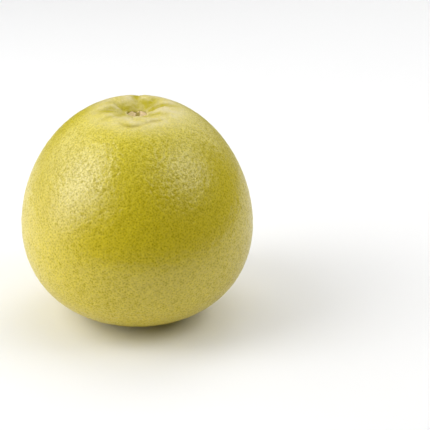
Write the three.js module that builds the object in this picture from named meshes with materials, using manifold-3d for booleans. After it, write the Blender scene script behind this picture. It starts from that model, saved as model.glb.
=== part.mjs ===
// A whole pomelo, as picked. The fruit is one solid: a pear-leaning globe that stands on the small flat
// spot of its blossom end, with a puckered basin round the stem, radial furrows and a pitted rind.
// The dry woody button that the stem leaves behind sits in a socket in the basin.
// Millimetres. +Z runs up the core from the middle of the flat spot, which is the origin.
// Bearings are degrees round the core, seen from above and anticlockwise: 0 is +X, 90 is +Y.
import * as THREE from "three";
import { mergeVertices } from "three/addons/utils/BufferGeometryUtils.js";
import Module from "manifold-3d";

// Globe: a mean radius, and how far the outline leans from a ball, as shares of that radius.
const meanRadius = 75;
const stretch = -0.0094; // squashed a little along the core
const pearLean = 0.0515; // shoulders drawn in, belly hung low
const squareness = -0.014; // ends blunted

// Blossom end
const flatSpotRadius = 17;
const styleScarRadius = 3.2;
const styleScarDepth = 0.7;
const styleScarSides = 20;

// Stem end
const basinDepth = 9.1;
const basinReach = 14.5;
const basinRoundness = 2.4;
const collarRadius = 9.5;
const collarWidth = 2.2;
const collarHeight = 0.5;
const furrowHalfWidth = 2.3;
const furrowStart = 7;
const furrowFull = 10;
const furrows = [
  { bearing: 15, depth: 2, reach: 28 },
  { bearing: 57, depth: 1.4, reach: 24 },
  { bearing: 90, depth: 1.3, reach: 38 },
  { bearing: 118, depth: 0.7, reach: 24 },
  { bearing: 149, depth: 2, reach: 25 },
  { bearing: 202, depth: 1.9, reach: 28 },
  { bearing: 223, depth: 1, reach: 34 },
  { bearing: 250, depth: 0.6, reach: 21 },
  { bearing: 300, depth: 0.6, reach: 22 },
  { bearing: 327, depth: 1.1, reach: 27 },
];
// Folds that lie across the furrows, where the puckered skin meets the smooth shoulder. The bow
// draws a fold's ends in towards the stem.
const foldHalfWidth = 1.6;
const folds = [
  { bearing: 262, span: 15, radius: 28.2, bow: 1.6, depth: 1 },
  { bearing: 295, span: 13, radius: 24.2, bow: -0.8, depth: 0.7 },
];

// Rind relief: long swells over the whole globe, and pits larger than the real oil glands.
const swells = [
  { height: 0.3, waves: [2.1, -1.3, 1.7], phase: 0.5 },
  { height: 0.22, waves: [-3.2, 2.6, 0.9], phase: 1.6 },
  { height: 0.16, waves: [1.9, 4.4, -3.8], phase: 4.8 },
];
const pitDepth = 0.7;
const pitsBegin = 15;
const pitsFull = 32;

// The net of triangles that the rind is drawn on, finer round the stem.
const netSplits = 21;
const netGather = 0.5;
const weldDistance = 1e-4;

// Button: a dry disc with a rounded rim, a hollow middle, a nub and a split. Heights are over the basin.
const buttonRadius = 6.5;
const buttonGap = 0.35;
const buttonSunk = 1.3;
const buttonRise = 0.7;
const footRound = 0.4;
const rimRound = 0.7;
const hollowRadius = 1.9;
const hollowFloor = -0.6;
const nubRadius = 0.7;
const nubRise = 0.6;
const buttonSides = 36;
const splitWidth = 1.9;
const splitOffset = -0.2;
const splitFrom = 0.9;
const splitTo = 4.9;
const splitFloor = -0.4;

const rad = THREE.MathUtils.degToRad;
const wasm = await Module();
wasm.setup();

// The globe's distance from its middle, by the sine of the latitude above the equator.
function globeRadius(s) {
  const p2 = (3 * s * s - 1) / 2;
  const p3 = (5 * s ** 3 - 3 * s) / 2;
  const p4 = (35 * s ** 4 - 30 * s * s + 3) / 8;
  return meanRadius * (1 + stretch * p2 + pearLean * p3 + squareness * p4);
}

// How far below the middle the globe is when it is flatSpotRadius from the core, found by halving.
function flatSpotDrop() {
  const halvings = 40;
  let low = -1;
  let high = -0.5;
  for (let i = 0; i < halvings; i++) {
    const s = (low + high) / 2;
    if (globeRadius(s) * Math.sqrt(1 - s * s) < flatSpotRadius) low = s;
    else high = s;
  }
  return -globeRadius(low) * low;
}

const middleHeight = flatSpotDrop();
const stemHeight = middleHeight + globeRadius(1) - basinDepth;

// The turn from one bearing to another, in -180..180 degrees.
function turnBetween(a, b) {
  return THREE.MathUtils.euclideanModulo(a - b + 180, 360) - 180;
}

// The stem end's height over the plain globe, by distance from the core and bearing.
function stemRelief(distance, bearing) {
  const { smoothstep } = THREE.MathUtils;
  let height = -basinDepth * Math.exp(-((distance / basinReach) ** basinRoundness));
  height += collarHeight * Math.exp(-(((distance - collarRadius) / collarWidth) ** 2));
  for (const f of furrows) {
    const turn = rad(turnBetween(bearing, f.bearing));
    if (Math.cos(turn) <= 0) continue;
    const across = (distance * Math.sin(turn)) / furrowHalfWidth;
    const fadeIn = smoothstep(distance, furrowStart, furrowFull);
    const fadeOut = 1 - smoothstep(distance, f.reach / 2, f.reach);
    height -= f.depth * fadeIn * fadeOut * Math.exp(-across * across);
  }
  for (const f of folds) {
    const along = turnBetween(bearing, f.bearing) / f.span;
    const across = (distance - f.radius + f.bow * along * along) / foldHalfWidth;
    height -= f.depth * Math.exp(-across * across - along * along);
  }
  return height;
}

// How far the long swells lift the rind, by the direction from the globe's middle.
function swellHeight(d) {
  return swells.reduce(
    (sum, w) => sum + w.height * Math.sin(d.x * w.waves[0] + d.y * w.waves[1] + d.z * w.waves[2] + w.phase),
    0,
  );
}

// A copy of a geometry with positions only, and one vertex for each corner.
function weld(geometry) {
  const bare = geometry.clone();
  bare.deleteAttribute("normal");
  bare.deleteAttribute("uv");
  return mergeVertices(bare, weldDistance);
}

// A ball of near-equal triangles, drawn together towards +Z.
function makeNet() {
  const net = weld(new THREE.IcosahedronGeometry(1, netSplits - 1));
  const p = net.attributes.position;
  const d = new THREE.Vector3();
  for (let i = 0; i < p.count; i++) {
    d.fromBufferAttribute(p, i).normalize();
    const fromStem = Math.acos(THREE.MathUtils.clamp(d.z, -1, 1));
    const gathered = fromStem - (netGather * Math.sin(fromStem) * (1 + d.z)) / 2;
    const reach = Math.sin(gathered) / (Math.hypot(d.x, d.y) || 1);
    p.setXYZ(i, d.x * reach, d.y * reach, Math.cos(gathered));
  }
  return net;
}

// Picks the net's pit vertices in a scattered order, so that no two are neighbours.
function pickPits(net) {
  const count = net.attributes.position.count;
  const neighbours = Array.from({ length: count }, () => new Set());
  const corners = net.index.array;
  for (let i = 0; i < corners.length; i += 3) {
    for (let k = 0; k < 3; k++) {
      const a = corners[i + k];
      const b = corners[i + ((k + 1) % 3)];
      neighbours[a].add(b);
      neighbours[b].add(a);
    }
  }
  const goldenShare = (Math.sqrt(5) - 1) / 2;
  const scatter = (i) => THREE.MathUtils.euclideanModulo(i * i * goldenShare, 1);
  const order = [...neighbours.keys()].sort((a, b) => scatter(a) - scatter(b));
  const pits = new Set();
  for (const i of order) {
    if (![...neighbours[i]].some((n) => pits.has(n))) pits.add(i);
  }
  return pits;
}

// A closed geometry as a solid for cutting and joining, moved to its place.
function toSolid(geometry, x = 0, y = 0, z = 0) {
  const welded = weld(geometry).translate(x, y, z);
  return new wasm.Manifold(
    new wasm.Mesh({
      numProp: 3,
      vertProperties: new Float32Array(welded.attributes.position.array),
      triVerts: new Uint32Array(welded.index.array),
    }),
  );
}

function toGeometry(solid) {
  const mesh = solid.getMesh();
  const geometry = new THREE.BufferGeometry();
  geometry.setAttribute("position", new THREE.BufferAttribute(new Float32Array(mesh.vertProperties), 3));
  geometry.setIndex(new THREE.BufferAttribute(new Uint32Array(mesh.triVerts), 1));
  geometry.computeVertexNormals();
  return geometry;
}

// The rind's outside: globe, swells, stem end and pits.
function makeGlobe() {
  const net = makeNet();
  const pits = pickPits(net);
  const p = net.attributes.position;
  const d = new THREE.Vector3();
  for (let i = 0; i < p.count; i++) {
    d.fromBufferAttribute(p, i);
    let radius = globeRadius(d.z) + swellHeight(d);
    const fromCore = radius * Math.hypot(d.x, d.y);
    let pitShare = 1;
    if (d.z > 0) {
      radius += stemRelief(fromCore, THREE.MathUtils.radToDeg(Math.atan2(d.y, d.x)));
      pitShare = THREE.MathUtils.smoothstep(fromCore, pitsBegin, pitsFull);
    }
    if (pits.has(i)) radius -= pitDepth * pitShare;
    p.setXYZ(i, d.x * radius, d.y * radius, middleHeight + d.z * radius);
  }
  return toSolid(net);
}

// Everything under the flat spot.
function makeUnderside() {
  const side = 3 * meanRadius;
  return toSolid(new THREE.BoxGeometry(side, side, meanRadius), 0, 0, -meanRadius / 2);
}

// The shallow cap of a ball that the style's scar sinks into the flat spot.
function makeStyleScar() {
  const ballRadius = (styleScarRadius ** 2 + styleScarDepth ** 2) / (2 * styleScarDepth);
  const ball = new THREE.SphereGeometry(ballRadius, styleScarSides, styleScarSides).rotateX(Math.PI / 2);
  return toSolid(ball, 0, 0, styleScarDepth - ballRadius);
}

// The round socket that holds the button, open at the top.
function makeSocket() {
  const radius = buttonRadius + buttonGap;
  const depth = buttonSunk + buttonGap;
  const drum = new THREE.CylinderGeometry(radius, radius, 2 * depth, buttonSides).rotateX(Math.PI / 2);
  return toSolid(drum, 0, 0, stemHeight);
}

function makeFruit() {
  return makeGlobe().subtract(makeUnderside()).subtract(makeStyleScar()).subtract(makeSocket());
}

// The button turns a section about the core: underside, rounded rim, bowl down to the hollow, nub.
function makeButton() {
  const arcSteps = 3;
  const section = new THREE.Path()
    .moveTo(0, -buttonSunk)
    .lineTo(buttonRadius - footRound, -buttonSunk)
    .absarc(buttonRadius - footRound, footRound - buttonSunk, footRound, -Math.PI / 2, 0)
    .absarc(buttonRadius - rimRound, buttonRise - rimRound, rimRound, 0, Math.PI / 2)
    .quadraticCurveTo(hollowRadius, buttonRise, hollowRadius, hollowFloor)
    .lineTo(nubRadius, hollowFloor)
    .absarc(0, nubRise - nubRadius, nubRadius, 0, Math.PI / 2);
  const disc = new THREE.LatheGeometry(section.getPoints(arcSteps), buttonSides).rotateX(Math.PI / 2);
  const splitHeight = 2 * (buttonRise - splitFloor);
  const split = new THREE.BoxGeometry(splitWidth, splitTo - splitFrom, splitHeight);
  return toSolid(disc, 0, 0, stemHeight).subtract(
    toSolid(split, splitOffset, -(splitFrom + splitTo) / 2, stemHeight + splitFloor + splitHeight / 2),
  );
}

const rindMaterial = new THREE.MeshStandardMaterial({ color: 0xbdb03a, roughness: 0.45, metalness: 0 });
const buttonMaterial = new THREE.MeshStandardMaterial({ color: 0xc9a878, roughness: 0.8, metalness: 0 });

function namedMesh(name, solid, material) {
  const mesh = new THREE.Mesh(toGeometry(solid), material);
  mesh.name = name;
  return mesh;
}

const pomelo = new THREE.Group();
pomelo.add(namedMesh("fruit", makeFruit(), rindMaterial));
pomelo.add(namedMesh("stem_button", makeButton(), buttonMaterial));

export default pomelo;
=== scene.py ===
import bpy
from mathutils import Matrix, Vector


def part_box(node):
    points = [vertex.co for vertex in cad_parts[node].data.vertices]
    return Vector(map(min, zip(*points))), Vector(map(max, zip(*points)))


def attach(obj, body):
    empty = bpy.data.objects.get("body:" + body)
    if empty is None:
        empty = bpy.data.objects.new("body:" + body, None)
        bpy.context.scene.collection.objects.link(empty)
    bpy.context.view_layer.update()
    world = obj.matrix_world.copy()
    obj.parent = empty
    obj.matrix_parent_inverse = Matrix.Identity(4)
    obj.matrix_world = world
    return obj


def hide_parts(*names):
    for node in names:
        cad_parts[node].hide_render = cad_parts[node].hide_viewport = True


bl_info = {
    "name": "Whole pomelo",
    "version": (1, 0, 0),
    "blender": (4, 5, 0),
    "location": "3D View > Sidebar > Pomelo",
    "description": "Models a whole pomelo on its packed frame, with a pitted rind and a dry stem button",
    "category": "Add Mesh",
}

import math

import bpy
import numpy as np
from bpy.props import FloatProperty, FloatVectorProperty, IntProperty, PointerProperty
from mathutils import Matrix, Vector

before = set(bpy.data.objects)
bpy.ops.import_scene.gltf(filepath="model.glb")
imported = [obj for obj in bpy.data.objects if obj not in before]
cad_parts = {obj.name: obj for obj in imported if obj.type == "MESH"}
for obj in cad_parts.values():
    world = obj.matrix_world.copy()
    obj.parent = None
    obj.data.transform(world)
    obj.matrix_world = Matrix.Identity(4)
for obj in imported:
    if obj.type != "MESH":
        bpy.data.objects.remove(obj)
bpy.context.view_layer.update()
button_low, button_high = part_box("stem_button")

# Everything is in metres, in the frame of the CAD: the origin is the middle of the flat spot, +Z runs
# up the core, and bearings are degrees round the core, seen from above and anticlockwise from +X.
MM = 0.001

# Furrows that run out from the stem, and folds that lie across them. A fold's bow draws its ends in.
FURROWS = (
    {"bearing": 15, "depth": 1.7 * MM, "reach": 30 * MM, "half_width": 2.5 * MM},
    {"bearing": 57, "depth": 1.2 * MM, "reach": 26 * MM, "half_width": 2.5 * MM},
    {"bearing": 90, "depth": 1.2 * MM, "reach": 38 * MM, "half_width": 2.3 * MM},
    {"bearing": 118, "depth": 0.7 * MM, "reach": 24 * MM, "half_width": 2.3 * MM},
    {"bearing": 149, "depth": 1.5 * MM, "reach": 25 * MM, "half_width": 3.0 * MM},
    {"bearing": 191, "depth": 1.4 * MM, "reach": 30 * MM, "half_width": 3.2 * MM},
    {"bearing": 222, "depth": 0.6 * MM, "reach": 34 * MM, "half_width": 2.3 * MM},
    {"bearing": 250, "depth": 0.6 * MM, "reach": 21 * MM, "half_width": 2.3 * MM},
    {"bearing": 300, "depth": 0.6 * MM, "reach": 22 * MM, "half_width": 2.3 * MM},
    {"bearing": 326, "depth": 0.9 * MM, "reach": 27 * MM, "half_width": 2.3 * MM},
)
FURROW_START = 7 * MM
FURROW_FULL = 10 * MM
FOLDS = (
    {"bearing": 262, "span": 15, "radius": 28.2 * MM, "bow": 1.6 * MM, "depth": 0.6 * MM},
    {"bearing": 295, "span": 13, "radius": 24.2 * MM, "bow": -0.8 * MM, "depth": 0.5 * MM},
)
FOLD_HALF_WIDTH = 1.6 * MM

# How the skin changes with distance from the core: a crumpled stem end, pale partly in its own colour and
# partly from painted sheen, then pitted rind.
CRUMPLE_FULL = 18 * MM
CRUMPLE_END = 30 * MM
PUCKER_FULL = 18 * MM
PUCKER_END = 40 * MM
PITS_START = 17 * MM
PITS_FULL = 43 * MM

# The middle of a painted sheen on the fruit's upper left front, laid on in the stem end's pale colour, and
# how it thins out away from it.
SHEEN_PATCH_MIDDLE = (-53 * MM, -36 * MM, 106 * MM)
SHEEN_PATCH_FULL = 14 * MM
SHEEN_PATCH_END = 52 * MM
SHEEN_PATCH_SHARE = 0.18

# Long swells over the whole globe: height, waves along X, Y and Z in turns of a radian, and phase.
SWELLS = (
    {"height": 0.30 * MM, "waves": (2.1, -1.3, 1.7), "phase": 0.5},
    {"height": 0.22 * MM, "waves": (-3.2, 2.6, 0.9), "phase": 1.6},
    {"height": 0.16 * MM, "waves": (1.9, 4.4, -3.8), "phase": 4.8},
)

# Softboxes round the fruit: name, bearing, elevation, watts and side.
SOFTBOXES = (
    ("left_side", 192, 10, 2.9, 0.65),
    ("left_rim", 181, 29, 1.8, 0.55),
    ("left_key", 195, 50, 4.5, 0.65),
    ("left_middle", 203, 31, 2.8, 0.65),
    ("left_front", 227, 30, 1.2, 0.55),
    ("left_back", 150, 20, 0.8, 0.85),
    ("left_high", 140, 35, 2.4, 0.85),
    ("right_front", -30, 45, 2.0, 0.65),
    ("right_key", -5, 42, 3.0, 0.65),
    ("right_high", 50, 50, 2.1, 0.85),
    ("right_back", 60, 25, 2.3, 0.85),
    ("front_high", -50, 65, 1.1, 0.85),
    ("back_high", 90, 70, 3.0, 0.85),
)

# The photograph's frame, in pixels: its side, where the globe's middle falls, and the scale there.
PHOTO_SIDE = 430
MIDDLE_X = 137.2
MIDDLE_Y = 213.2
PIXELS_PER_METRE = 1541.7


class RindShape(bpy.types.PropertyGroup):
    """Sizes of the fruit's outside."""

    mean_radius: FloatProperty(
        name="Mean radius", description="The globe's mean radius", default=75 * MM, unit="LENGTH"
    )
    stretch: FloatProperty(
        name="Stretch", description="How far the globe is drawn out along the core", default=-0.0094
    )
    pear_lean: FloatProperty(
        name="Pear lean",
        description="How far the shoulders are drawn in and the belly hangs",
        default=0.0515,
    )
    squareness: FloatProperty(
        name="Squareness", description="How far the two ends stand out or are blunted", default=-0.014
    )
    flat_spot: FloatProperty(
        name="Flat spot", description="Radius of the spot that it stands on", default=17 * MM, unit="LENGTH"
    )
    basin_depth: FloatProperty(
        name="Basin depth", description="How deep the stem end is drawn in", default=9.1 * MM, unit="LENGTH"
    )
    basin_reach: FloatProperty(
        name="Basin reach", description="How far out the basin reaches", default=14.5 * MM, unit="LENGTH"
    )
    socket_radius: FloatProperty(
        name="Socket radius", description="Radius of the button's socket", default=6.85 * MM, unit="LENGTH"
    )
    scar_radius: FloatProperty(
        name="Scar radius", description="Radius of the style's scar", default=3.2 * MM, unit="LENGTH"
    )
    scar_depth: FloatProperty(
        name="Scar depth", description="Depth of the style's scar", default=0.7 * MM, unit="LENGTH"
    )
    pit_depth: FloatProperty(
        name="Pit depth", description="Depth of the oil-gland pits", default=0.30 * MM, unit="LENGTH"
    )
    pit_width: FloatProperty(
        name="Pit width", description="Half width of a pit", default=0.65 * MM, unit="LENGTH"
    )
    pit_stray: FloatProperty(
        name="Pit stray",
        description="How far a pit strays along each axis",
        default=0.33 * MM,
        unit="LENGTH",
    )
    pebble_height: FloatProperty(
        name="Pebble height",
        description="Height of the skin between pits",
        default=0.052 * MM,
        unit="LENGTH",
    )
    cuts: IntProperty(
        name="Cuts", description="Cuts along each edge of the starting ball", default=98, min=1, max=98
    )
    seed: IntProperty(name="Seed", description="Seed of the rind's random draws", default=7)


class RindColours(bpy.types.PropertyGroup):
    """Colours of the rind."""

    green: FloatVectorProperty(
        name="Green", description="Greener skin", subtype="COLOR", default=(0.60, 0.51, 0.004)
    )
    yellow: FloatVectorProperty(
        name="Yellow", description="Yellower skin", subtype="COLOR", default=(0.65, 0.522, 0.003)
    )
    pale: FloatVectorProperty(
        name="Pale", description="Raised skin between pits", subtype="COLOR", default=(0.86, 0.71, 0.012)
    )
    pit: FloatVectorProperty(
        name="Pit", description="Oil-gland pits", subtype="COLOR", default=(0.22, 0.16, 0.0)
    )
    # Pale stem-end skin: partly the skin's own pale colour, partly painted sheen.
    pucker_and_sheen: FloatVectorProperty(
        name="Pucker", description="Pale skin round the stem", subtype="COLOR", default=(0.70, 0.61, 0.34)
    )
    # Olive in the furrows, partly their own colour and partly painted shade, and painted shade on the slope
    # behind the button.
    furrow_and_shade: FloatVectorProperty(
        name="Furrow", description="Skin inside the furrows", subtype="COLOR", default=(0.42, 0.355, 0.01)
    )
    # Painted shade along the bottom of each fold.
    crease_and_shade: FloatVectorProperty(
        name="Crease", description="Thin lines in the folds", subtype="COLOR", default=(0.36, 0.25, 0.05)
    )
    # Corky brown of the scars and the socket's rim, also used for the painted shadow at the gap behind the
    # button.
    scar: FloatVectorProperty(
        name="Scar", description="Corky brown edges and scars", subtype="COLOR", default=(0.20, 0.13, 0.03)
    )


class ButtonColours(bpy.types.PropertyGroup):
    """Colours of the dry stem button."""

    wood: FloatVectorProperty(
        name="Wood", description="Dry woody tissue", subtype="COLOR", default=(0.72, 0.55, 0.29)
    )
    # Painted shade in the cleft and on the left pad.
    cleft_and_pad_shade: FloatVectorProperty(
        name="Hollow", description="Dark tissue in the hollow", subtype="COLOR", default=(0.27, 0.21, 0.03)
    )
    nub: FloatVectorProperty(
        name="Nub", description="Pale end of the old vessels", subtype="COLOR", default=(0.72, 0.59, 0.22)
    )
    edge: FloatVectorProperty(
        name="Edge", description="Brown edge of the disc", subtype="COLOR", default=(0.20, 0.12, 0.05)
    )


class StudioSettings(bpy.types.PropertyGroup):
    """Camera and floor of the studio."""

    elevation: FloatProperty(
        name="Elevation",
        description="Camera's height above level",
        default=math.radians(24),
        subtype="ANGLE",
    )
    distance: FloatProperty(
        name="Distance", description="Camera to the globe's middle", default=1.124, unit="LENGTH"
    )
    sensor: FloatProperty(
        name="Sensor", description="Width of the camera's sensor in millimetres", default=36.0
    )
    floor_colour: FloatVectorProperty(
        name="Floor", description="Colour of the floor", subtype="COLOR", default=(0.91, 0.91, 0.91)
    )


def deselect_all():
    """Leaves edit mode and selects nothing."""
    if bpy.context.object is not None and bpy.context.object.mode != "OBJECT":
        bpy.ops.object.mode_set(mode="OBJECT")
    bpy.ops.object.select_all(action="DESELECT")


def get_points(piece):
    """A piece's vertices as an array of rows."""
    mesh = piece.data
    points = np.empty(len(mesh.vertices) * 3)
    mesh.vertices.foreach_get("co", points)
    return points.reshape(-1, 3)


def set_points(piece, points):
    """Moves a piece's vertices to the rows of an array."""
    piece.data.vertices.foreach_set("co", points.astype(np.float32).ravel())
    piece.data.update()


def set_layer(piece, name, values):
    """Keeps one number for each vertex, for the material to read."""
    layer = piece.data.attributes.new(name, "FLOAT", "POINT")
    layer.data.foreach_set("value", np.clip(values, 0, 1).astype(np.float32))


def ease(values, start, end):
    """0 up to start, 1 from end, and smooth between them."""
    t = np.clip((values - start) / (end - start), 0, 1)
    return t * t * (3 - 2 * t)


def hump(values, half_width, power=2):
    """1 at 0, falling to nothing on both sides. A higher power makes it flatter and steeper."""
    return np.exp(-((values / half_width) ** power))


def ripple(along, height, length, phase=0):
    """A wave along a line: its height, its length for each radian of turn, and its phase."""
    return height * np.sin(along / length + phase)


def unit(rows):
    """Rows brought to a length of 1."""
    return rows / np.linalg.norm(rows, axis=1)[:, None]


def turn_between(a, b):
    """The turn from bearing b to bearing a, in -180 to 180 degrees."""
    return (a - b + 180) % 360 - 180


def globe_radius(shape, s):
    """The globe's distance from its middle, by the sine of the latitude above the equator."""
    p2 = (3 * s**2 - 1) / 2
    p3 = (5 * s**3 - 3 * s) / 2
    p4 = (35 * s**4 - 30 * s**2 + 3) / 8
    return shape.mean_radius * (1 + shape.stretch * p2 + shape.pear_lean * p3 + shape.squareness * p4)


def middle_height(shape):
    """How high the globe's middle is over the flat spot, found by halving."""
    low, high = -1.0, -0.5
    for _ in range(40):
        s = (low + high) / 2
        if globe_radius(shape, s) * math.sqrt(1 - s * s) < shape.flat_spot:
            low = s
        else:
            high = s
    return -globe_radius(shape, low) * low


def swell_height(directions):
    """How far the long swells lift the rind, by direction from the globe's middle."""
    return sum(w["height"] * np.sin(directions @ np.array(w["waves"]) + w["phase"]) for w in SWELLS)


def furrow_depth(distance, bearing):
    """How deep the furrows and folds are, by distance from the core and bearing."""
    sway_degrees = 4
    sway_start, sway_full = 8 * MM, 14 * MM
    sway_length = 3.2 * MM
    start_width = 0.85
    flare = 50 * MM
    depth = np.zeros_like(distance)
    sway = ripple(distance, sway_degrees, sway_length, 3 * np.radians(bearing))
    sway *= ease(distance, sway_start, sway_full)
    widening = start_width + distance / flare
    for f in FURROWS:
        turn = np.radians(turn_between(bearing + sway, f["bearing"]))
        across = hump(distance * np.sin(turn), f["half_width"] * widening)
        along = ease(distance, FURROW_START, FURROW_FULL) * (1 - ease(distance, f["reach"] / 2, f["reach"]))
        depth += np.where(np.cos(turn) > 0, f["depth"] * along * across, 0)
    for f in FOLDS:
        across, along = fold_place(f, distance, bearing)
        depth += f["depth"] * hump(across, FOLD_HALF_WIDTH) * hump(along, 1)
    return depth


def fold_place(fold, distance, bearing):
    """Metres across a fold from its line, and its spans along it from its middle."""
    along = turn_between(bearing, fold["bearing"]) / fold["span"]
    across = distance - fold["radius"] + fold["bow"] * along**2
    return across, along


def crease_line(distance, bearing):
    """1 along the thin line at the bottom of each fold, 0 away from it. It sinks a groove there and carries
    painted shade.
    """
    half_width = 0.4 * FOLD_HALF_WIDTH
    spans = 1.2
    line = np.zeros_like(distance)
    for f in FOLDS:
        across, along = fold_place(f, distance, bearing)
        line += hump(across, half_width) * hump(along, spans, 6)
    return line


def basin_height(shape, distance, bearing):
    """The stem end's basin, with a low collar, a dip in its front lip and a middle sunk to the back."""
    roundness = 2.4
    collar_radius = 9.5 * MM
    collar_width = 2.2 * MM
    collar_height = 0.5 * MM
    dip_radius = 15 * MM
    dip_width = 8 * MM
    dip_depth = 1.3 * MM
    middle_radius = 9 * MM
    middle_sink = 0.6 * MM
    back_sink = 2.0 * MM
    basin = -shape.basin_depth * hump(distance, shape.basin_reach, roundness)
    collar = collar_height * hump(distance - collar_radius, collar_width)
    behind = np.sin(np.radians(bearing))
    dip = dip_depth * ease(-behind, 0.2, 1) * hump(distance - dip_radius, dip_width)
    sink = middle_sink * (1 + behind) + back_sink * ease(behind, 0.2, 1)
    return basin + collar - dip - sink * hump(distance, middle_radius, 4)


class Net:
    """The neighbours of each vertex of a mesh, for smoothing and for scattering."""

    def __init__(self, mesh):
        ends = np.empty(len(mesh.edges) * 2, np.int32)
        mesh.edges.foreach_get("vertices", ends)
        ends = ends.reshape(-1, 2)
        self.count = len(mesh.vertices)
        self.tails = np.concatenate((ends[:, 0], ends[:, 1]))
        self.heads = np.concatenate((ends[:, 1], ends[:, 0]))
        self.degree = np.bincount(self.tails, minlength=self.count)

    def smooth(self, values, rounds):
        """Mixes each value with the mean of its neighbours, a number of times."""
        for _ in range(rounds):
            around = np.bincount(self.tails, weights=values[self.heads], minlength=self.count) / self.degree
            values = (values + around) / 2
        return values

    def scatter(self, draws):
        """Picks vertices in random order, so that no two are neighbours."""
        order = np.argsort(self.tails, kind="stable")
        links = self.heads[order]
        starts = np.concatenate(([0], np.cumsum(self.degree)))
        picked = np.zeros(self.count, bool)
        taken = np.zeros(self.count, bool)
        for i in draws.permutation(self.count):
            if not taken[i]:
                picked[i] = True
                taken[links[starts[i] : starts[i + 1]]] = True
        return picked

    def pits(self, points, draws, shape):
        """How deep each vertex lies in the pit nearest to it, from 0 to 1."""
        shallowest = 0.7
        narrowest, widest = 0.7, 1.3
        picked = self.scatter(draws)
        centres = points + draws.uniform(-1, 1, points.shape) * shape.pit_stray
        strength = np.where(picked, draws.uniform(shallowest, 1, self.count), 0)
        width = shape.pit_width * draws.uniform(narrowest, widest, self.count)
        own = hump(np.linalg.norm(points - centres, axis=1), width)
        near = hump(np.linalg.norm(points[self.tails] - centres[self.heads], axis=1), width[self.heads])
        depth = strength * own
        np.maximum.at(depth, self.tails, strength[self.heads] * near)
        return depth


def level(values):
    """Values brought to a mean of 0 and a spread of 1."""
    return (values - values.mean()) / values.std()


def start_ball(shape, centre):
    """A ball of near-equal triangles, made from an icosahedron."""
    deselect_all()
    bpy.ops.mesh.primitive_ico_sphere_add(subdivisions=1, radius=shape.mean_radius, location=centre)
    ball = bpy.context.object
    bpy.ops.object.mode_set(mode="EDIT")
    bpy.ops.mesh.select_all(action="SELECT")
    bpy.ops.mesh.subdivide(number_cuts=shape.cuts)
    bpy.ops.transform.tosphere(value=1.0)
    bpy.ops.object.mode_set(mode="OBJECT")
    bpy.ops.object.transform_apply(location=True, rotation=True, scale=True)
    return ball


def gather_to_stem(directions, share):
    """Draws directions together towards +Z, so that the net is finer round the stem."""
    smallest = 1e-9
    from_stem = np.arccos(np.clip(directions[:, 2], -1, 1))
    gathered = from_stem - share * np.sin(from_stem) * (1 + directions[:, 2]) / 2
    side = np.maximum(np.hypot(directions[:, 0], directions[:, 1]), smallest)
    reach = np.sin(gathered) / side
    return np.column_stack((directions[:, 0] * reach, directions[:, 1] * reach, np.cos(gathered)))


def rind_directions(points, draws):
    """Directions of the vertices from the globe's middle, gathered to the stem and strayed a little."""
    gathering = 0.3
    stray = 0.24
    directions = gather_to_stem(unit(points), gathering)
    spacing = math.sqrt(4 * math.pi / len(points))
    directions += draws.uniform(-1, 1, directions.shape) * spacing * stray
    return unit(directions)


def skin_relief(shape, net, draws, rough, crumple):
    """Height of the pebbled skin between the pits, and of the crumpled skin round the stem."""
    smoothest = 0.35
    crumple_height = 0.16 * MM
    crinkle_height = 0.05 * MM
    fine = level(net.smooth(draws.normal(size=net.count), 1))
    coarse = level(net.smooth(draws.normal(size=net.count), 3))
    broad = level(net.smooth(draws.normal(size=net.count), 16))
    pebbles = shape.pebble_height * (0.4 * fine + 0.8 * coarse + 0.2 * broad)
    crumples = crumple_height * coarse + crinkle_height * fine
    return pebbles * (smoothest + (1 - smoothest) * rough) + crumples * crumple


def back_slope_shade(distance, bearing):
    """1 on the slope behind the button, which is painted olive as shade, 0 away from it."""
    slope_start, slope_end = 13 * MM, 19 * MM
    behind = np.sin(np.radians(bearing))
    return (1 - ease(distance, slope_start, slope_end)) * ease(behind, 0.1, 0.7)


def brown_rim_and_gap_shadow(shape, distance, bearing):
    """The socket's brown corky rim, with painted shadow that makes it darkest at the gap behind the button.
    """
    rim_width = 0.55 * MM
    faintest = 0.3
    gap_shadow_bearing = 105
    gap_shadow_span = 42
    gap_shadow = hump(turn_between(bearing, gap_shadow_bearing), gap_shadow_span)
    outside = np.maximum(distance - shape.socket_radius, 0)
    return hump(outside, rim_width) * (faintest + (1 - faintest) * gap_shadow)


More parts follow.
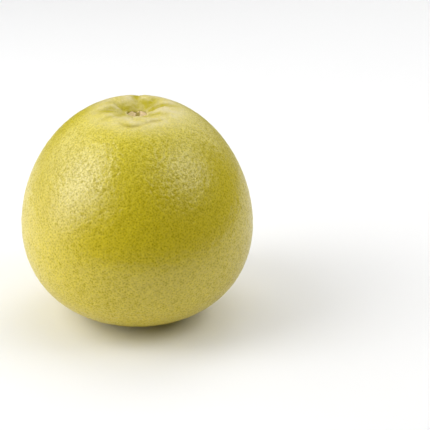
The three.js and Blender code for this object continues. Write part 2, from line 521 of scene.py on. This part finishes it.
def make_rind(shape):
    """The whole fruit: globe, swells, stem end, pits, flat spot and style scar."""
    crease_depth = 0.35 * MM
    olive_depth = 0.8 * MM
    draws = np.random.default_rng(shape.seed)
    centre = np.array((0, 0, middle_height(shape)))
    rind = start_ball(shape, centre)
    rind.name = "rind"
    net = Net(rind.data)
    directions = rind_directions(get_points(rind) - centre, draws)

    upper = directions[:, 2] > 0
    radius = globe_radius(shape, directions[:, 2]) + swell_height(directions)
    distance = radius * np.hypot(directions[:, 0], directions[:, 1])
    bearing = np.degrees(np.arctan2(directions[:, 1], directions[:, 0]))
    furrows = np.where(upper, furrow_depth(distance, bearing), 0)
    crease_and_shade = np.where(upper, crease_line(distance, bearing), 0)
    rough = np.where(upper, ease(distance, PITS_START, PITS_FULL), 1)
    crumple = np.where(upper, 1 - ease(distance, CRUMPLE_FULL, CRUMPLE_END), 0)
    pits = net.pits(directions * shape.mean_radius, draws, shape) * rough
    radius += np.where(upper, basin_height(shape, distance, bearing), 0)
    radius += skin_relief(shape, net, draws, rough, crumple)
    radius -= furrows + crease_depth * crease_and_shade + shape.pit_depth * pits

    points = cut_socket(shape, centre + directions * radius[:, None])
    points, underside, scar = flatten_base(shape, points)
    set_points(rind, points)
    set_layer(rind, "pit", pits * (1 - underside))
    set_layer(rind, "furrow_and_shade", furrows / olive_depth)
    set_layer(rind, "pucker_and_sheen", np.where(upper, 1 - ease(distance, PUCKER_FULL, PUCKER_END), 0))
    # Painted shade on the slope behind the button.
    set_layer(rind, "basin", np.where(upper, back_slope_shade(distance, bearing), 0))
    set_layer(rind, "crease_and_shade", crease_and_shade)
    set_layer(rind, "scar", np.maximum(np.where(upper, brown_rim_and_gap_shadow(shape, distance, bearing), 0), scar))
    bpy.ops.object.shade_smooth()
    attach(rind, "root")
    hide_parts("fruit")
    return rind


def cut_socket(shape, points):
    """Sinks the middle of the basin into a round socket with a steep wall."""
    clearance = 0.35 * MM
    wall = 0.3 * MM
    distance = np.hypot(points[:, 0], points[:, 1])
    upper = points[:, 2] > shape.mean_radius
    lip = upper & (np.abs(distance - shape.socket_radius) < wall)
    inside = upper & (distance <= shape.socket_radius - wall)
    scale = np.ones(len(points))
    scale[lip] = shape.socket_radius / distance[lip]
    points[:, :2] *= scale[:, None]
    points[inside, 2] = button_low.z - clearance
    return points


def flatten_base(shape, points):
    """Presses the blossom end flat and sinks the style's scar into it."""
    softness = 0.25 * MM
    pitless_height = 1 * MM
    z = points[:, 2]
    pressed = (z + np.sqrt(z * z + softness * softness)) / 2
    distance = np.hypot(points[:, 0], points[:, 1])
    lower = z < shape.mean_radius / 2
    underside = np.where(lower, 1 - ease(z, 0, pitless_height), 0)
    scar = np.where(lower, hump(distance, shape.scar_radius, 4), 0)
    points[:, 2] = np.where(lower, pressed, z)
    points[:, 2] -= points[lower, 2].min()
    points[:, 2] += scar * shape.scar_depth
    return points, underside, scar


class Paint:
    """A material's nodes, each made with its settings and joined to what it reads."""

    def __init__(self, name):
        self.material = bpy.data.materials.new(name)
        self.material.use_nodes = True
        self.tree = self.material.node_tree
        self.shader = self.tree.nodes["Principled BSDF"]
        self.place = self.make("ShaderNodeTexCoord").outputs["Object"]

    def make(self, kind, **settings):
        node = self.tree.nodes.new(kind)
        for name, value in settings.items():
            setattr(node, name, value)
        return node

    def feed(self, socket, value):
        if isinstance(value, bpy.types.NodeSocket):
            self.tree.links.new(value, socket)
        elif hasattr(value, "__len__") and len(value) == 3 and socket.type == "RGBA":
            socket.default_value = (*value, 1)
        else:
            socket.default_value = value

    def noise(self, scale, detail, roughness=0.5):
        """Soft noise from 0 to 1, with scale in features per metre."""
        node = self.make("ShaderNodeTexNoise")
        self.feed(node.inputs["Vector"], self.place)
        node.inputs["Scale"].default_value = scale
        node.inputs["Detail"].default_value = detail
        node.inputs["Roughness"].default_value = roughness
        return node.outputs["Fac"]

    def layer(self, name):
        return self.make("ShaderNodeAttribute", attribute_name=name).outputs["Fac"]

    def range(self, value, low, high, to_low=0.0, to_high=1.0):
        node = self.make("ShaderNodeMapRange", interpolation_type="SMOOTHSTEP")
        for socket, number in zip(node.inputs, (value, low, high, to_low, to_high)):
            self.feed(socket, number)
        return node.outputs["Result"]

    def math(self, operation, *values):
        node = self.make("ShaderNodeMath", operation=operation)
        for socket, value in zip(node.inputs, values):
            self.feed(socket, value)
        return node.outputs[0]

    def height(self):
        """Height over the floor in metres."""
        node = self.make("ShaderNodeSeparateXYZ")
        self.feed(node.inputs[0], self.place)
        return node.outputs["Z"]

    def reach(self, place):
        """Distance in metres from a place on the piece."""
        node = self.make("ShaderNodeVectorMath", operation="DISTANCE")
        self.feed(node.inputs[0], self.place)
        node.inputs[1].default_value = place
        return node.outputs["Value"]

    def mix(self, share, a, b):
        """Colour a with a share of colour b. The node's colours are inputs 6 and 7, its result output 2."""
        node = self.make("ShaderNodeMix", data_type="RGBA")
        self.feed(node.inputs[0], share)
        self.feed(node.inputs[6], a)
        self.feed(node.inputs[7], b)
        return node.outputs[2]

    def bump(self, height, strength, distance):
        node = self.make("ShaderNodeBump")
        node.inputs["Strength"].default_value = strength
        node.inputs["Distance"].default_value = distance
        self.feed(node.inputs["Height"], height)
        return node.outputs["Normal"]


def paint_rind(rind, shape, colours):
    """Waxy yellow-green skin with olive pits, a pale puckered stem end and corky scars, with painted sheen
    on the stem end and the upper left front, and painted shade in the furrows, the folds, the slope behind
    the button and the socket's back gap.
    """
    skin_ior = 1.15
    wax_ior = 1.72
    wax_roughness = 0.34
    paint = Paint("rind")
    speckle = paint.noise(1000, detail=1)
    patches = paint.noise(24, detail=3)
    height = paint.math("MULTIPLY", paint.height(), 1 / shape.mean_radius)
    green = paint.range(paint.math("ADD", height, paint.math("MULTIPLY", patches, 0.8)), 1.3, 2.3)
    colour = paint.mix(green, colours.yellow, colours.green)
    colour = paint.mix(paint.range(speckle, 0.45, 0.65, 0.0, 0.4), colour, colours.pale)
    colour = paint.mix(paint.range(speckle, 0.35, 0.5, 0.12, 0.0), colour, colours.pit)

    # Painted sheen: a thin wash of the pale stem-end colour over the upper left front, fading with
    # distance.
    from_sheen_patch = paint.reach(SHEEN_PATCH_MIDDLE)
    painted_sheen = paint.range(from_sheen_patch, SHEEN_PATCH_FULL, SHEEN_PATCH_END, SHEEN_PATCH_SHARE, 0.0)
    colour = paint.mix(painted_sheen, colour, colours.pucker_and_sheen)
    blotches = paint.range(paint.noise(130, detail=4, roughness=0.6), 0.35, 0.65, 0.5, 1.0)
    # Pale stem end, partly its own colour and partly painted sheen.
    pucker_and_sheen = paint.math("MULTIPLY", paint.layer("pucker_and_sheen"), blotches)
    colour = paint.mix(paint.math("MULTIPLY", pucker_and_sheen, 0.9), colour, colours.pucker_and_sheen)
    # Olive in the furrows, partly painted shade, and painted shade on the slope behind the button.
    olive = paint.math("MAXIMUM", paint.layer("furrow_and_shade"), paint.layer("basin"))
    olive = paint.math("MULTIPLY", olive, paint.range(blotches, 0.5, 1.0, 1.0, 0.7))
    colour = paint.mix(olive, colour, colours.furrow_and_shade)
    # Painted shade along the bottom of each fold.
    colour = paint.mix(paint.math("MULTIPLY", paint.layer("crease_and_shade"), 0.35), colour, colours.crease_and_shade)

    ragged = paint.math("MULTIPLY_ADD", speckle, -0.2, paint.layer("pit"))
    pit = paint.range(ragged, 0.0, 0.75)
    colour = paint.mix(paint.math("MULTIPLY", pit, 0.45), colour, colours.pit)
    # Corky scars, with painted shadow at the socket's back gap.
    scar = paint.math("MULTIPLY", paint.layer("scar"), paint.range(blotches, 0.5, 1.0, 1.0, 0.5))
    colour = paint.mix(scar, colour, colours.scar)

    shader = paint.shader
    paint.feed(shader.inputs["Base Color"], colour)
    satin = paint.range(paint.noise(500, detail=3), 0.3, 0.7, 0.32, 0.42)
    paint.feed(shader.inputs["Roughness"], paint.math("MULTIPLY_ADD", paint.layer("pucker_and_sheen"), 0.2, satin))
    shader.inputs["IOR"].default_value = skin_ior
    wax = paint.math("MULTIPLY_ADD", paint.layer("pucker_and_sheen"), -0.4, 1.0)
    wax = paint.math("MULTIPLY_ADD", olive, -0.4, wax)
    paint.feed(shader.inputs["Coat Weight"], paint.math("MULTIPLY_ADD", pit, -0.8, wax))
    shader.inputs["Coat Roughness"].default_value = wax_roughness
    shader.inputs["Coat IOR"].default_value = wax_ior
    skin = paint.bump(speckle, 0.8, 0.3 * MM)
    paint.feed(shader.inputs["Normal"], skin)
    rind.data.materials.append(paint.material)


def make_button():
    """The dry disc: a cylinder with a rounded rim, whose top is inset ring by ring and then weathered."""
    sides = 96
    radius = (button_high.x - button_low.x) / 2
    sunk = 0.35 * MM
    rim = 0.35 * MM
    low, high = button_low.z, button_high.z - sunk
    deselect_all()
    bpy.ops.mesh.primitive_cylinder_add(
        vertices=sides, radius=radius, depth=high - rim - low, end_fill_type="NGON",
        location=(0, 0, (low + high - rim) / 2),
    )
    button = bpy.context.object
    button.name = "stem_button_wood"
    bpy.ops.object.transform_apply(location=True, rotation=True, scale=True)
    select_top(button)
    ring_radius, ring_height = radius, high - rim
    for next_radius, next_height in button_rings(radius, rim, high):
        bpy.ops.mesh.inset(thickness=ring_radius - next_radius, depth=next_height - ring_height)
        ring_radius, ring_height = next_radius, next_height
    bpy.ops.mesh.merge(type="CENTER")
    bpy.ops.object.mode_set(mode="OBJECT")
    smooth = button.modifiers.new("round", "SUBSURF")
    smooth.levels = smooth.render_levels = 2
    bpy.ops.object.modifier_apply(modifier=smooth.name)
    weather_button(button, radius, high)
    bpy.ops.object.shade_smooth()
    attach(button, "root")
    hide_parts("stem_button")
    return button


def select_top(piece):
    """Selects a piece's highest face in edit mode."""
    top = max(piece.data.polygons, key=lambda face: face.center.z).index
    for face in piece.data.polygons:
        face.select = face.index == top
    for edge in piece.data.edges:
        edge.select = False
    for vertex in piece.data.vertices:
        vertex.select = vertex.index in piece.data.polygons[top].vertices
    bpy.context.tool_settings.mesh_select_mode = (False, False, True)
    bpy.ops.object.mode_set(mode="EDIT")


def button_rings(radius, rim, high):
    """Radius and height of each ring from the rounded rim to the middle."""
    rounded = 4
    flat = 14
    rings = []
    for step in range(1, rounded + 1):
        angle = math.radians(90 * step / rounded)
        rings.append((radius - rim + rim * math.cos(angle), high - rim + rim * math.sin(angle)))
    rings += [((radius - rim) * (1 - step / flat), high) for step in range(1, flat)]
    return rings


def button_halves(x, y):
    """How deep each point lies in the cleft, from 0 to 1, and the height of the pads beside it."""
    middle, half_width = 0.4 * MM, 1.35 * MM
    bend, spread = 0.7 * MM, 1.0 * MM
    pad_height = 0.18 * MM
    pad_width = 4.2 * MM
    back = ease(y, 1 * MM, 5 * MM)
    line = middle - bend * back + ripple(y, 0.25 * MM, 1.1 * MM) + ripple(y, 0.12 * MM, 0.36 * MM, 1)
    edge = half_width + spread * back + ripple(y, 0.22 * MM, 0.6 * MM, 2)
    cleft = hump(x - line, edge, 4) * (1 - 0.35 * ease(-y, 3.5 * MM, 5.5 * MM))
    pads = pad_height * np.cos(np.pi * np.clip(np.abs(x - line) / pad_width - 0.6, -1, 1))
    return cleft, pads


def weather_button(button, radius, high):
    """Splits the disc into two pads, with a cleft between them, a nub at the back and cracked fibres."""
    cleft_depth = 0.95 * MM
    nub_x, nub_y = 0.6 * MM, 4.6 * MM
    nub_radius = 0.7 * MM
    nub_height = 0.55 * MM
    fibre_height = 0.045 * MM
    side_wear = 0.02
    brown_start, brown_full = radius - 0.75 * MM, radius - 0.15 * MM
    x, y, z = get_points(button).T
    distance = np.hypot(x, y)
    bearing = np.arctan2(y, x)
    top = ease(z, high - 0.9 * MM, high - 0.2 * MM)
    cleft, pads = button_halves(x, y)
    nub = hump(np.hypot(x - nub_x, y - nub_y), nub_radius)
    cleft *= 1 - nub
    wave = np.sin(9 * bearing + 1.3) + np.sin(17 * bearing + 4.0) + np.sin(29 * bearing + 0.6)
    fibres = fibre_height * wave * ease(distance, 1.5 * MM, 4 * MM)
    relief = pads + fibres - cleft_depth * cleft + nub_height * nub
    z = z + top * np.minimum(relief, button_high.z - high)
    wear = side_wear * (1 + np.sin(5 * bearing + 2) * np.sin(3 * bearing))
    bulk = 1 - wear * (distance > radius / 2)
    set_points(button, np.column_stack((x * bulk, y * bulk, z)))
    # Painted shade: the cleft and the left pad are darkened in the paint.
    left_pad_shade = 0.4 * ease(-x, 0, 3 * MM)
    set_layer(button, "cleft_and_pad_shade", np.maximum(cleft, left_pad_shade) * top)
    set_layer(button, "nub", nub)
    set_layer(button, "edge", ease(distance, brown_start, brown_full))


def paint_button(button, colours):
    """Dry pinkish-tan wood, with painted shade in the cleft and on the left pad, and brown at the edge."""
    paint = Paint("dry_stem")
    fibres = paint.noise(900, detail=4, roughness=0.65)
    mottle = paint.noise(350, detail=3)
    colour = paint.mix(paint.range(fibres, 0.3, 0.7, 0.0, 0.35), colours.wood, colours.edge)
    colour = paint.mix(paint.range(mottle, 0.4, 0.7, 0.0, 0.3), colour, colours.edge)
    colour = paint.mix(paint.range(paint.layer("cleft_and_pad_shade"), 0.1, 0.9), colour, colours.cleft_and_pad_shade)
    edge = paint.math("MULTIPLY", paint.layer("edge"), paint.range(mottle, 0.4, 0.6, 0.35, 1.0))
    colour = paint.mix(edge, colour, colours.edge)
    colour = paint.mix(paint.layer("nub"), colour, colours.nub)
    shader = paint.shader
    paint.feed(shader.inputs["Base Color"], colour)
    paint.feed(shader.inputs["Roughness"], paint.range(mottle, 0.3, 0.7, 0.7, 0.9))
    paint.feed(shader.inputs["Normal"], paint.bump(fibres, 0.5, 0.3 * MM))
    button.data.materials.append(paint.material)


def make_floor(studio):
    """A pale floor that ends a hand's width in front of the fruit, past the picture's lower edge."""
    radius = 0.6
    front = 0.25
    drop = 0.1 * MM
    darker = (0.86, 0.86, 0.86)
    deselect_all()
    bpy.ops.mesh.primitive_circle_add(
        vertices=64, radius=radius, fill_type="NGON", location=(0, radius - front, -drop)
    )
    floor = bpy.context.object
    floor.name = "floor"
    paint = Paint("floor")
    mottle = paint.range(paint.noise(3, detail=2), 0.3, 0.7, 0.0, 0.03)
    paint.feed(paint.shader.inputs["Base Color"], paint.mix(mottle, studio.floor_colour, darker))
    paint.shader.inputs["Roughness"].default_value = 0.9
    floor.data.materials.append(paint.material)


def make_sky():
    """A dim room that looks white to the camera."""
    room_light = 0.08
    world = bpy.data.worlds.new("studio")
    bpy.context.scene.world = world
    world.use_nodes = True
    tree = world.node_tree
    room = tree.nodes["Background"]
    room.inputs["Color"].default_value = (1, 1, 1, 1)
    room.inputs["Strength"].default_value = room_light
    backdrop = tree.nodes.new("ShaderNodeBackground")
    backdrop.inputs["Color"].default_value = (1, 1, 1, 1)
    ray = tree.nodes.new("ShaderNodeLightPath")
    mix = tree.nodes.new("ShaderNodeMixShader")
    tree.links.new(ray.outputs["Is Camera Ray"], mix.inputs["Fac"])
    tree.links.new(room.outputs[0], mix.inputs[1])
    tree.links.new(backdrop.outputs[0], mix.inputs[2])
    tree.links.new(mix.outputs[0], tree.nodes["World Output"].inputs["Surface"])


def make_softbox(name, target, bearing, elevation, watts, side):
    """A square light that hangs at a bearing and an elevation from its target, and faces it."""
    distance = 1.2
    turn, rise = math.radians(bearing), math.radians(elevation)
    way = Vector((math.cos(rise) * math.cos(turn), math.cos(rise) * math.sin(turn), math.sin(rise)))
    light = bpy.data.lights.new(name, "AREA")
    light.shape = "SQUARE"
    light.size = side
    light.energy = watts
    box = bpy.data.objects.new(name, light)
    box.location = target + way * distance
    box.rotation_euler = way.to_track_quat("Z", "Y").to_euler()
    bpy.context.scene.collection.objects.link(box)


def make_camera(studio, middle):
    """The photograph's camera: it looks down at the fruit and is aimed past its right side."""
    pixels = PIXELS_PER_METRE * studio.distance
    back = Vector((0, -math.cos(studio.elevation), math.sin(studio.elevation)))
    lens = bpy.data.cameras.new("camera")
    lens.sensor_width = studio.sensor
    lens.lens = studio.sensor * pixels / PHOTO_SIDE
    camera = bpy.data.objects.new("camera", lens)
    facing = (-back).to_track_quat("-Z", "Y").to_matrix().to_4x4()
    right = math.atan((PHOTO_SIDE / 2 - MIDDLE_X) / pixels)
    down = math.atan((PHOTO_SIDE / 2 - MIDDLE_Y) / pixels)
    aim = Matrix.Rotation(-right, 4, "Y") @ Matrix.Rotation(-down, 4, "X")
    camera.matrix_world = Matrix.Translation(middle + back * studio.distance) @ facing @ aim
    bpy.context.scene.collection.objects.link(camera)
    bpy.context.scene.camera = camera


class POMELO_OT_rind(bpy.types.Operator):
    """Model and paint the whole rind"""

    bl_idname = "pomelo.rind"
    bl_label = "Rind"
    bl_options = {"REGISTER", "UNDO"}

    def execute(self, context):
        rind = make_rind(context.scene.pomelo_shape)
        paint_rind(rind, context.scene.pomelo_shape, context.scene.pomelo_rind_colours)
        return {"FINISHED"}


class POMELO_OT_stem_button(bpy.types.Operator):
    """Model and paint the dry button that the stem leaves behind"""

    bl_idname = "pomelo.stem_button"
    bl_label = "Stem button"
    bl_options = {"REGISTER", "UNDO"}

    def execute(self, context):
        button = make_button()
        paint_button(button, context.scene.pomelo_button_colours)
        return {"FINISHED"}


class POMELO_OT_stage(bpy.types.Operator):
    """Set up the floor, the soft light and the camera"""

    bl_idname = "pomelo.stage"
    bl_label = "Stage"
    bl_options = {"REGISTER", "UNDO"}

    def execute(self, context):
        studio = context.scene.pomelo_studio
        middle = Vector((0, 0, middle_height(context.scene.pomelo_shape)))
        make_floor(studio)
        make_sky()
        for name, bearing, elevation, watts, side in SOFTBOXES:
            make_softbox(name, middle, bearing, elevation, watts, side)
        make_camera(studio, middle)
        context.scene.view_settings.view_transform = "Standard"
        return {"FINISHED"}


class POMELO_PT_panel(bpy.types.Panel):
    """Buttons that make the pomelo"""

    bl_idname = "POMELO_PT_panel"
    bl_label = "Pomelo"
    bl_space_type = "VIEW_3D"
    bl_region_type = "UI"
    bl_category = "Pomelo"

    def draw(self, context):
        layout = self.layout
        for name, group in GROUPS.items():
            settings = getattr(context.scene, name)
            for field in group.__annotations__:
                layout.prop(settings, field)
        for operator in OPERATORS:
            layout.operator(operator.bl_idname)


GROUPS = {
    "pomelo_shape": RindShape,
    "pomelo_rind_colours": RindColours,
    "pomelo_button_colours": ButtonColours,
    "pomelo_studio": StudioSettings,
}
OPERATORS = (POMELO_OT_rind, POMELO_OT_stem_button, POMELO_OT_stage)


def register():
    for group in GROUPS.values():
        bpy.utils.register_class(group)
    for operator in OPERATORS:
        bpy.utils.register_class(operator)
    bpy.utils.register_class(POMELO_PT_panel)
    for name, group in GROUPS.items():
        setattr(bpy.types.Scene, name, PointerProperty(type=group))


def unregister():
    for name in GROUPS:
        delattr(bpy.types.Scene, name)
    bpy.utils.unregister_class(POMELO_PT_panel)
    for operator in reversed(OPERATORS):
        bpy.utils.unregister_class(operator)
    for group in reversed(list(GROUPS.values())):
        bpy.utils.unregister_class(group)


def main():
    register()
    bpy.ops.pomelo.rind()
    bpy.ops.pomelo.stem_button()
    bpy.ops.pomelo.stage()


if __name__ == "__main__":
    main()
